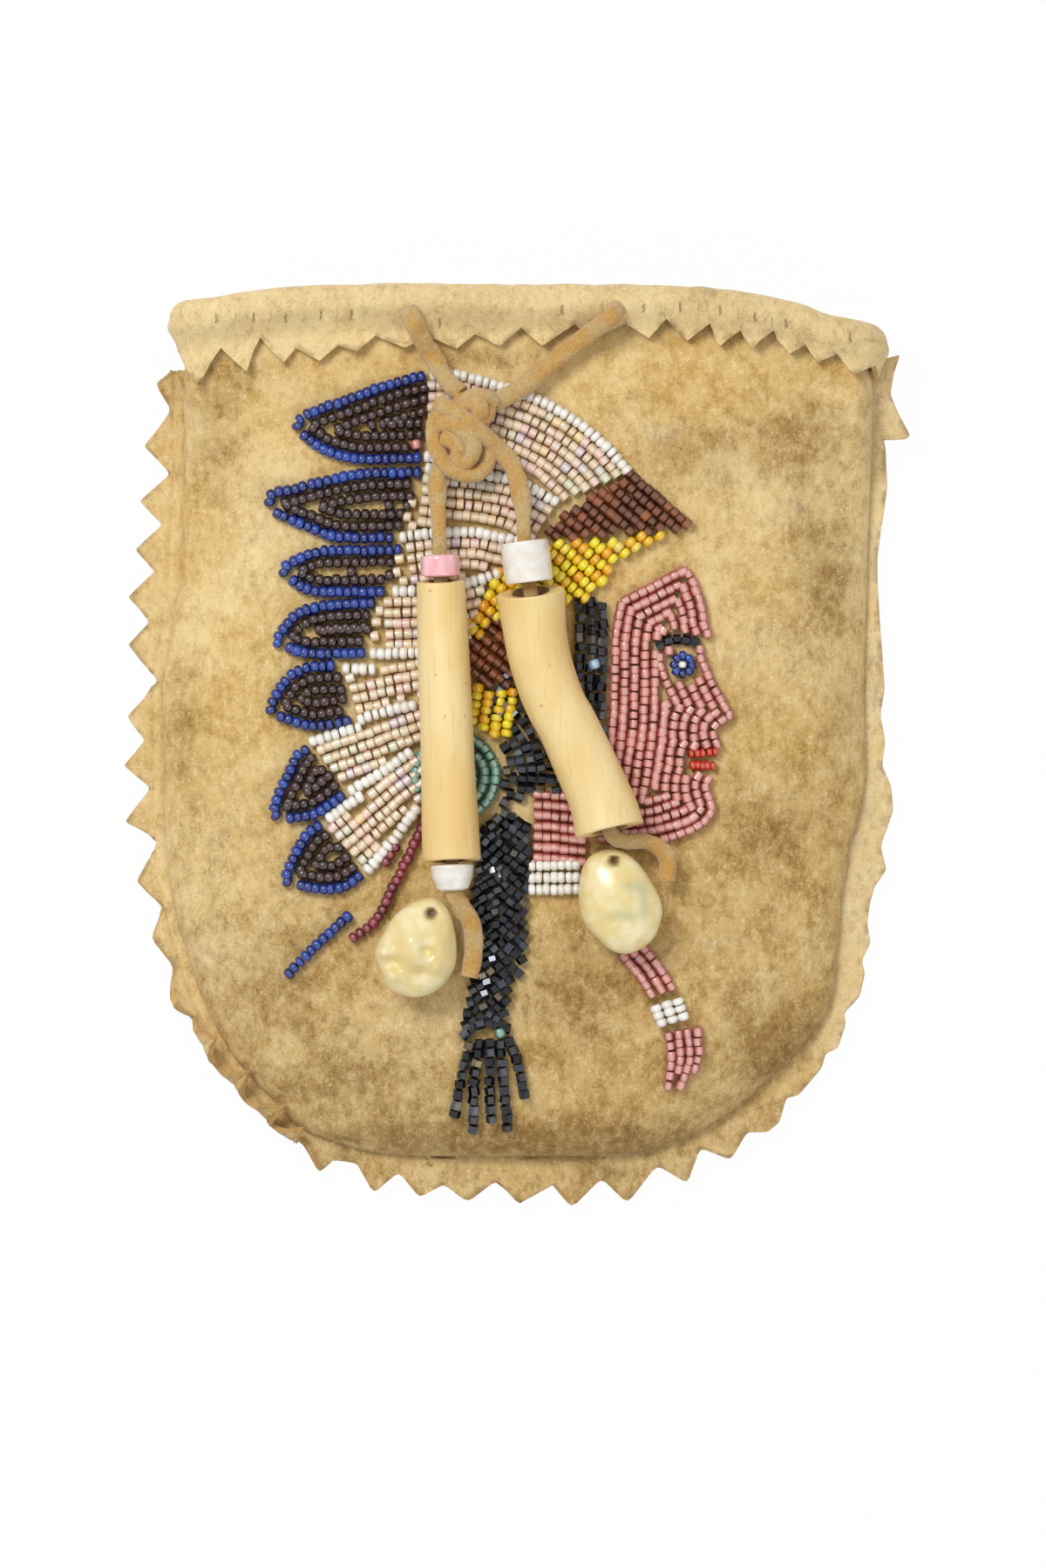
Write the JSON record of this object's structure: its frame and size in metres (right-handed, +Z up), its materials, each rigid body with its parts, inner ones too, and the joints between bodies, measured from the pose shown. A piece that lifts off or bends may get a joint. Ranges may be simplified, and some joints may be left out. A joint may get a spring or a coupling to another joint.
{
  "type": "beaded pouch",
  "caption": "Drawstring pouch of soft hide with a turned-out cuff, pinked edging, a beaded front and two thong dangles with bone tubes, beads and cowrie shells.",
  "frame": {"origin": "on the flat underside of the back panel, near the middle of the body, at the level of the surface it lies on", "axes": "+Y from the rounded bottom to the mouth, +X to the right seen from the beaded front, +Z up from the back panel to the front panel"},
  "size_m": [0.1523, 0.1787, 0.0304],
  "materials": {
    "hide": "soft tanned hide, napped, a little soiled",
    "thong": "fuzzy suede thong",
    "cobalt_beads": "opaque cobalt seed beads",
    "aubergine_beads": "dark aubergine seed beads",
    "clear_beads": "clear iridescent tube beads",
    "white_beads": "opaque white beads",
    "brown_beads": "root beer brown seed beads",
    "yellow_beads": "opaque yellow seed beads",
    "black_beads": "cut black beads with a metal shine",
    "rose_beads": "transparent rose seed beads",
    "cranberry_beads": "cranberry seed beads",
    "teal_beads": "dark teal seed beads",
    "pink_bead": "opaque pink tube bead",
    "bone": "yellowed polished bone",
    "shell": "glossy cowrie shell"
  },
  "bodies": {
    "root": {"back_panel": "hide", "band_yellow": "yellow_beads", "braid": "black_beads", "braid_tassel": "black_beads", "brow_band_brown": "brown_beads", "choker": "white_beads", "drawstring": "thong", "ear_disc": "teal_beads", "edging": "hide", "face": "rose_beads", "feather_1_core": "aubergine_beads", "feather_1_rim": "cobalt_beads", "feather_2_core": "aubergine_beads", "feather_2_rim": "cobalt_beads", "feather_3_core": "aubergine_beads", "feather_3_rim": "cobalt_beads", "feather_4_core": "aubergine_beads", "feather_4_rim": "cobalt_beads", "feather_5_core": "aubergine_beads", "feather_5_rim": "cobalt_beads", "feather_6_core": "aubergine_beads", "feather_6_rim": "cobalt_beads", "feather_7_core": "aubergine_beads", "feather_7_rim": "cobalt_beads", "front_panel": "hide", "hair": "black_beads", "knot": "thong", "neck": "rose_beads", "plume_1": "clear_beads", "plume_2": "clear_beads", "plume_3": "clear_beads", "plume_4": "clear_beads", "plume_5": "clear_beads", "plume_6": "clear_beads", "plume_7": "clear_beads", "rib_1": "white_beads", "rib_2": "white_beads", "rib_3": "white_beads", "rib_4": "white_beads", "rib_5": "white_beads", "rib_6": "white_beads", "rib_7": "white_beads", "rib_8": "white_beads", "ribbon_band": "white_beads", "ribbon_lower": "rose_beads", "ribbon_upper": "rose_beads", "strand_blue": "cobalt_beads", "strand_cranberry": "cranberry_beads", "temple_band_brown": "brown_beads", "temple_patch_yellow": "yellow_beads"},
    "left_dangle": {"tail_left": "thong", "shell_left": "shell"},
    "left_beads": {"pink_bead": "pink_bead", "bone_tube_left": "bone", "white_bead_left": "white_beads"},
    "right_dangle": {"tail_right": "thong", "shell_right": "shell"},
    "right_beads": {"white_bead_right": "white_beads", "bone_tube_right": "bone"}
  },
  "joints": [
    {"name": "left_dangle_swing", "type": "hinge", "parent": "root", "child": "left_dangle", "pos_m": [-0.01675, 0.05202, 0.02085], "axis": [0, 0, 1], "range_deg": [-20, 4]},
    {"name": "left_beads_slide", "type": "slide", "parent": "left_dangle", "child": "left_beads", "axis": [-0.0395, 0.9992, 0], "range_m": [0, 0.006]},
    {"name": "right_dangle_swing", "type": "hinge", "parent": "root", "child": "right_dangle", "pos_m": [-0.00442, 0.05763, 0.02085], "axis": [0, 0, 1], "range_deg": [-4, 20]},
    {"name": "right_beads_slide", "type": "slide", "parent": "right_dangle", "child": "right_beads", "axis": [-0.1, 0.995, 0], "range_m": [0, 0.002]}
  ]
}
